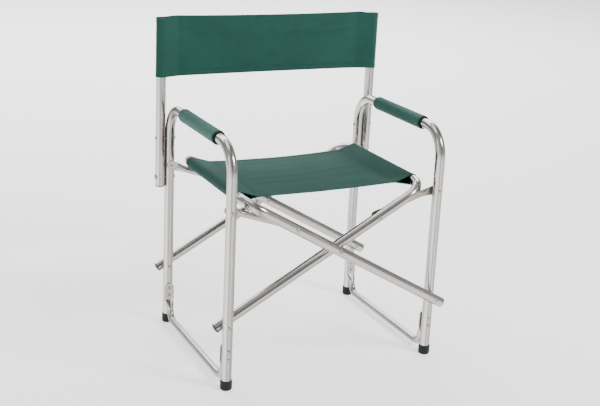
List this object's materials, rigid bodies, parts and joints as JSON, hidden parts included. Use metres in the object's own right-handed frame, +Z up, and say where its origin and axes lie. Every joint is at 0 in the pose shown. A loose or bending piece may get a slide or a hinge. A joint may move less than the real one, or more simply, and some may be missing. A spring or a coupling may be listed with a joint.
{
  "type": "folding camp chair",
  "caption": "Folding chair with bent-tube sides, crossed seat frames, fabric seat and back, and padded arms.",
  "frame": {"origin": "bottom centre of the bounding box, on the floor", "axes": "+Z up, +X to the right seen from the front, -Y to the front"},
  "size_m": [0.641, 0.4924, 0.819],
  "materials": {
    "tube": "bright drawn aluminium tube",
    "thin_tube": "bright drawn aluminium tube, pressed flat at the ends",
    "rivet_metal": "tubular rivet",
    "seat_fabric": "woven green cloth",
    "back_fabric": "woven green cloth",
    "pad_fabric": "woven green cloth over foam",
    "foam": "closed-cell foam",
    "foot_rubber": "moulded foot",
    "plug_plastic": "moulded plug",
    "washer_plastic": "thin washer"
  },
  "bodies": {
    "side_left": {"arm_pad_core_left": "foam", "arm_pad_cover_left": "pad_fabric", "back_post_left": "tube", "brace_rivets_left": "rivet_metal", "foot_cap_front_left": "foot_rubber", "foot_cap_rear_left": "foot_rubber", "link_rivets_left": "rivet_metal", "lower_brace_left": "thin_tube", "lower_pivot_rivets_left": "rivet_metal", "lower_pivot_washers_left": "washer_plastic", "post_bottom_plug_left": "plug_plastic", "post_rivets_left": "rivet_metal", "post_top_plug_left": "plug_plastic", "side_frame_left": "tube"},
    "side_right": {"arm_pad_core_right": "foam", "arm_pad_cover_right": "pad_fabric", "back_post_right": "tube", "brace_rivets_right": "rivet_metal", "foot_cap_front_right": "foot_rubber", "foot_cap_rear_right": "foot_rubber", "link_rivets_right": "rivet_metal", "lower_brace_right": "thin_tube", "lower_pivot_rivets_right": "rivet_metal", "lower_pivot_washers_right": "washer_plastic", "post_bottom_plug_right": "plug_plastic", "post_rivets_right": "rivet_metal", "post_top_plug_right": "plug_plastic", "side_frame_right": "tube"},
    "back_left": {"back_sling_left": "back_fabric"},
    "back_right": {"back_sling_right": "back_fabric"},
    "frame_left": {"center_pivot_rivets": "rivet_metal", "center_pivot_washers": "washer_plastic", "frame_link_rivets_left": "rivet_metal", "seat_frame_left": "tube", "seat_frame_plugs_left": "plug_plastic", "seat_sling_left": "seat_fabric"},
    "frame_right": {"frame_link_rivets_right": "rivet_metal", "seat_frame_plugs_right": "plug_plastic", "seat_frame_right": "tube", "seat_sling_right": "seat_fabric"},
    "links_left": {"link_end_rivets_left": "rivet_metal", "link_front_left": "thin_tube", "link_rear_left": "thin_tube"},
    "links_right": {"link_end_rivets_right": "rivet_metal", "link_front_right": "thin_tube", "link_rear_right": "thin_tube"}
  },
  "joints": [
    {"name": "fold", "type": "hinge", "parent": "side_left", "child": "frame_right", "pos_m": [-0.28, 0, 0.16], "axis": [0, -1, 0], "range_deg": [0, 51.43]},
    {"name": "cross", "type": "hinge", "parent": "frame_right", "child": "frame_left", "pos_m": [0, 0, 0.31885], "axis": [0, -1, 0], "range_deg": [-102.87, 0], "deforming": ["seat_sling_left", "seat_sling_right"]},
    {"name": "right_side", "type": "hinge", "parent": "frame_left", "child": "side_right", "pos_m": [0.28, 0, 0.16], "axis": [0, -1, 0], "range_deg": [0, 51.43]},
    {"name": "link_left", "type": "hinge", "parent": "side_left", "child": "links_left", "pos_m": [-0.28, -0.013, 0.43939], "axis": [0, -1, 0], "range_deg": [0, 98.63]},
    {"name": "link_right", "type": "hinge", "parent": "side_right", "child": "links_right", "pos_m": [0.28, 0.013, 0.43939], "axis": [0, 1, 0], "range_deg": [0, 98.63]},
    {"name": "back_left", "type": "hinge", "parent": "side_left", "child": "back_left", "pos_m": [-0.3054, 0.205, 0.669], "axis": [0, 0, 1], "range_deg": [0, 73.79], "deforming": ["back_sling_left"]},
    {"name": "back_right", "type": "hinge", "parent": "side_right", "child": "back_right", "pos_m": [0.3054, 0.231, 0.669], "axis": [0, 0, -1], "range_deg": [0, 77.46], "deforming": ["back_sling_right"]}
  ],
  "couplings": [
    {"joint": "cross", "follows": "fold", "ratio": -2},
    {"joint": "right_side", "follows": "fold", "ratio": 1},
    {"joint": "link_left", "follows": "fold", "ratio": 1.9176},
    {"joint": "link_right", "follows": "fold", "ratio": 1.9176},
    {"joint": "back_left", "follows": "fold", "ratio": 1.4347},
    {"joint": "back_right", "follows": "fold", "ratio": 1.506}
  ]
}
